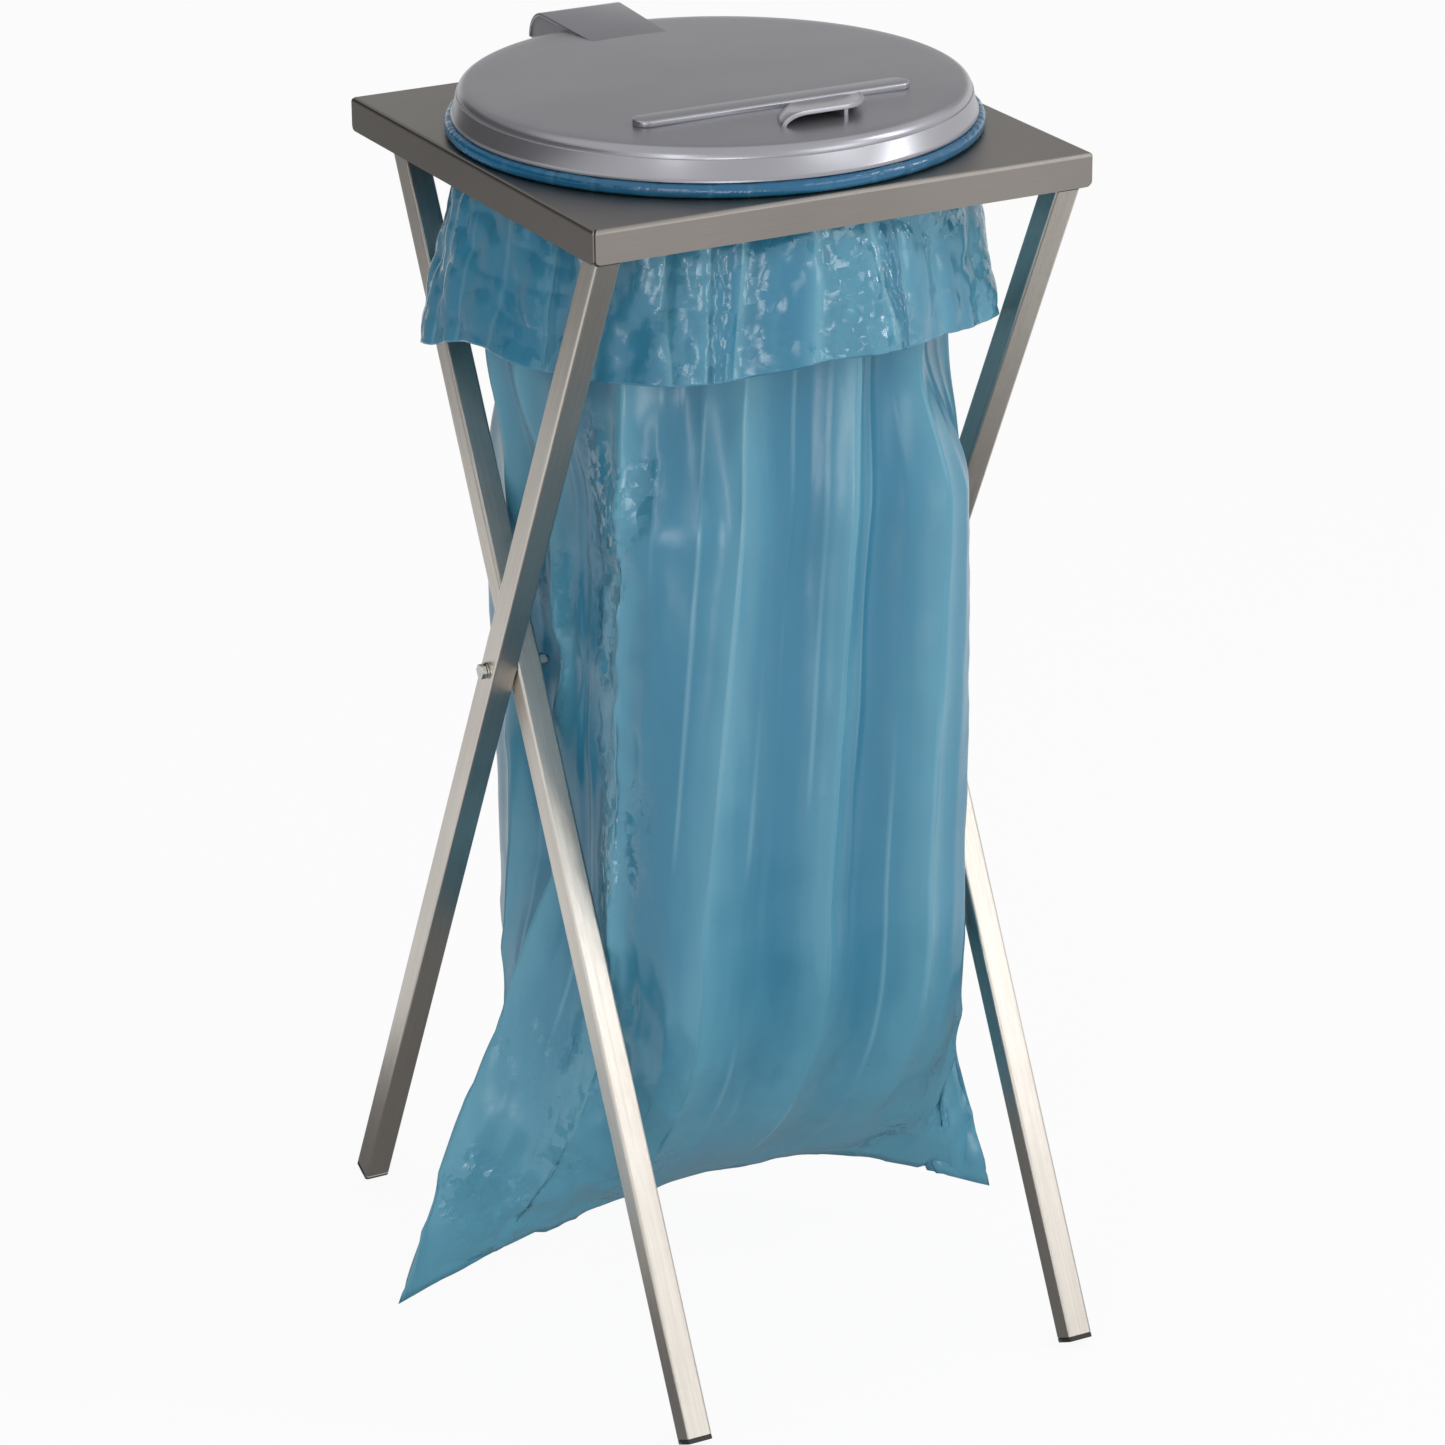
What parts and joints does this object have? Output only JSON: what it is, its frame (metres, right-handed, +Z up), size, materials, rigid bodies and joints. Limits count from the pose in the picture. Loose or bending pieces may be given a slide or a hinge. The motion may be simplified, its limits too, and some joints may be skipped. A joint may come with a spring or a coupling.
{
  "type": "bin bag holder",
  "caption": "Free-standing bin bag holder: a square steel tray on crossed square tubes, with a film bag hung over a ring and a round hinged lid.",
  "frame": {"origin": "on the floor, in the middle of the whole object's outline, bag included", "axes": "+Z up, -Y towards the front, where the lid's grip is, and +X to the right as seen from the front"},
  "size_m": [0.5015, 0.543, 0.9651],
  "materials": {
    "brushed_steel": "brushed stainless sheet, dark grey-brown",
    "tube_steel": "brushed stainless tube",
    "bright_steel": "bright steel fasteners",
    "black_plastic": "black, matt",
    "silver_plastic": "silver grey, satin",
    "grey_plastic": "grey, matt",
    "blue_film": "blue polyethylene film, glossy and creased"
  },
  "bodies": {
    "stand": {"tray": "brushed_steel", "outer_leg_left": "tube_steel", "outer_leg_right": "tube_steel", "inner_leg_left": "tube_steel", "inner_leg_right": "tube_steel", "foot_cap_outer_left": "black_plastic", "foot_cap_outer_right": "black_plastic", "foot_cap_inner_left": "black_plastic", "foot_cap_inner_right": "black_plastic", "top_connector_outer_left": "black_plastic", "top_connector_outer_right": "black_plastic", "top_connector_inner_left": "black_plastic", "top_connector_inner_right": "black_plastic", "connector_stud_outer_left": "bright_steel", "connector_stud_outer_right": "bright_steel", "connector_stud_inner_left": "bright_steel", "connector_stud_inner_right": "bright_steel", "cross_bolt_left": "bright_steel", "cross_bolt_right": "bright_steel", "head_washer_left": "bright_steel", "head_washer_right": "bright_steel", "nut_washer_left": "bright_steel", "nut_washer_right": "bright_steel", "cap_nut_left": "bright_steel", "cap_nut_right": "bright_steel", "bag_ring": "grey_plastic", "bag": "blue_film", "hinge_bracket": "black_plastic", "hinge_pin": "bright_steel", "pin_clip": "bright_steel", "bracket_screw_left": "bright_steel", "bracket_screw_right": "bright_steel", "bracket_nut_left": "bright_steel", "bracket_nut_right": "bright_steel"},
    "lid": {"lid": "silver_plastic"}
  },
  "joints": [
    {"name": "lid_hinge", "type": "hinge", "parent": "stand", "child": "lid", "pos_m": [0.033, 0.215, 0.9366], "axis": [-1, 0, 0], "range_deg": [0, 95]}
  ]
}
